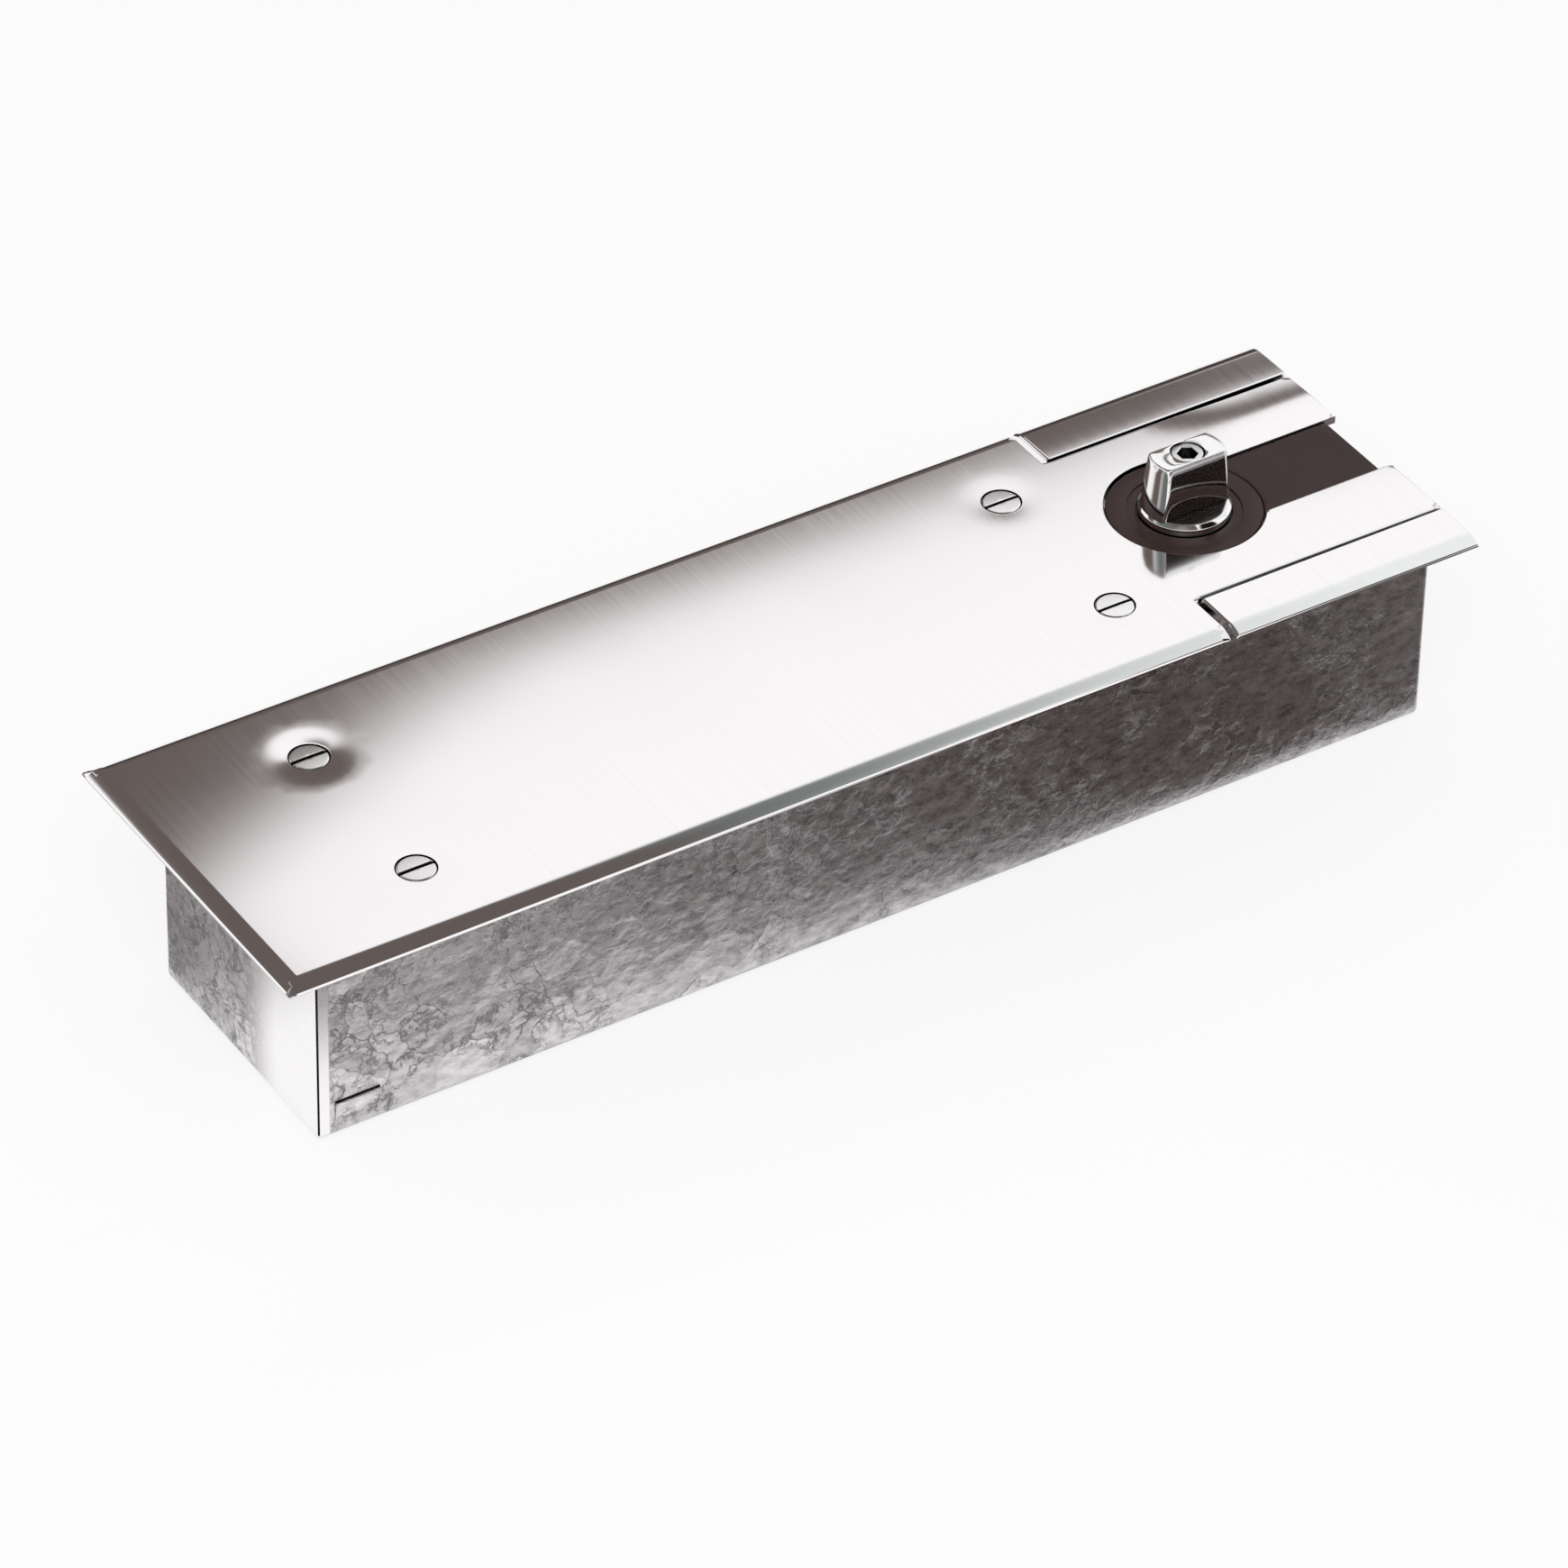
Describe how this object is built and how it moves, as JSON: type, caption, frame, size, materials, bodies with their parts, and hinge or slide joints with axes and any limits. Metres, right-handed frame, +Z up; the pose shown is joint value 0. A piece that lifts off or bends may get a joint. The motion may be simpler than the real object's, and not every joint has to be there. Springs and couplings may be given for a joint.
{
  "type": "floor spring",
  "caption": "Double-action floor spring in a sheet-steel cement box, with cover plate, flat-conical spindle, rack piston and return springs.",
  "frame": {"origin": "under the middle of the cover plate, on the underside of the cement box", "axes": "+X along the box towards the spindle end, +Z up through the cover plate, +Y to the side of the rack"},
  "size_m": [0.361, 0.105, 0.082],
  "materials": {
    "stainless_cover": "satin stainless sheet, softly reflecting",
    "stainless_screw": "turned stainless",
    "galvanised_sheet": "galvanised, slightly crumpled",
    "black_plastic": "black satin",
    "zinc_steel": "zinc plated",
    "cast_housing": "grey painted casting",
    "bearing_steel": "ground and polished",
    "brass_cage": "machined brass",
    "seal_rubber": "black nitrile",
    "hardened_steel": "machined and hardened",
    "bright_spindle": "bright nickel plated",
    "piston_ring_plastic": "filled fluoropolymer",
    "spring_steel": "oil tempered, dark"
  },
  "bodies": {
    "closer": {"cement_box": "galvanised_sheet", "cover_plate": "stainless_cover", "side_strip_front": "stainless_cover", "side_strip_back": "stainless_cover", "cover_screws": "stainless_screw", "strip_carriers": "galvanised_sheet", "slot_insert": "black_plastic", "spindle_disc": "black_plastic", "box_studs": "zinc_steel", "levelling_nuts": "zinc_steel", "ear_washers": "zinc_steel", "clamp_nuts": "zinc_steel", "closer_housing": "cast_housing", "bearing_cap": "cast_housing", "cap_screws": "zinc_steel", "upper_bearing_outer_ring": "bearing_steel", "lower_bearing_outer_ring": "bearing_steel", "shaft_seal": "seal_rubber", "end_plug_seal": "seal_rubber", "spring_seat": "hardened_steel", "return_spring_front": "spring_steel", "return_spring_rear": "spring_steel", "end_plug": "zinc_steel"},
    "spindle": {"spindle_shaft": "hardened_steel", "spindle_insert": "bright_spindle", "spindle_screw": "bright_spindle", "upper_bearing_inner_ring": "bearing_steel", "lower_bearing_inner_ring": "bearing_steel"},
    "upper_cage": {"upper_bearing_balls": "bearing_steel", "upper_bearing_cage": "brass_cage"},
    "lower_cage": {"lower_bearing_balls": "bearing_steel", "lower_bearing_cage": "brass_cage"},
    "rack": {"rack_piston": "hardened_steel", "piston_ring": "piston_ring_plastic", "piston_rod": "hardened_steel", "spring_head": "hardened_steel", "rod_nut": "zinc_steel", "check_valve_balls": "bearing_steel", "check_valve_caps": "brass_cage"},
    "closing_valve_spindle": {"closing_valve": "brass_cage", "closing_valve_seal": "seal_rubber"},
    "latching_valve_spindle": {"latching_valve": "brass_cage", "latching_valve_seal": "seal_rubber"}
  },
  "joints": [
    {"name": "spindle_turn", "type": "hinge", "parent": "closer", "child": "spindle", "pos_m": [0.1225, 0, 0.05], "axis": [0, 0, 1], "range_deg": [-130, 130], "stiffness_Nm_per_rad": 9},
    {"name": "upper_cage_turn", "type": "hinge", "parent": "closer", "child": "upper_cage", "pos_m": [0.1225, 0, 0.0537], "axis": [0, 0, 1], "range_deg": [-60, 60]},
    {"name": "lower_cage_turn", "type": "hinge", "parent": "closer", "child": "lower_cage", "pos_m": [0.1225, 0, 0.0098], "axis": [0, 0, 1], "range_deg": [-60, 60]},
    {"name": "rack_slide", "type": "slide", "parent": "closer", "child": "rack", "axis": [1, 0, 0], "range_m": [-0.017, 0.017], "deforming": ["return_spring_front", "return_spring_rear"]},
    {"name": "closing_valve_turn", "type": "hinge", "parent": "closer", "child": "closing_valve_spindle", "pos_m": [0.06, -0.021, 0.05], "axis": [0, 0, 1], "range_deg": [-360, 360]},
    {"name": "latching_valve_turn", "type": "hinge", "parent": "closer", "child": "latching_valve_spindle", "pos_m": [0.06, 0.021, 0.05], "axis": [0, 0, 1], "range_deg": [-360, 360]}
  ],
  "couplings": [
    {"joint": "spindle_turn", "follows": "rack_slide", "rad_per_m": -133.33},
    {"joint": "upper_cage_turn", "follows": "rack_slide", "rad_per_m": -57.692},
    {"joint": "lower_cage_turn", "follows": "rack_slide", "rad_per_m": -50.877}
  ]
}
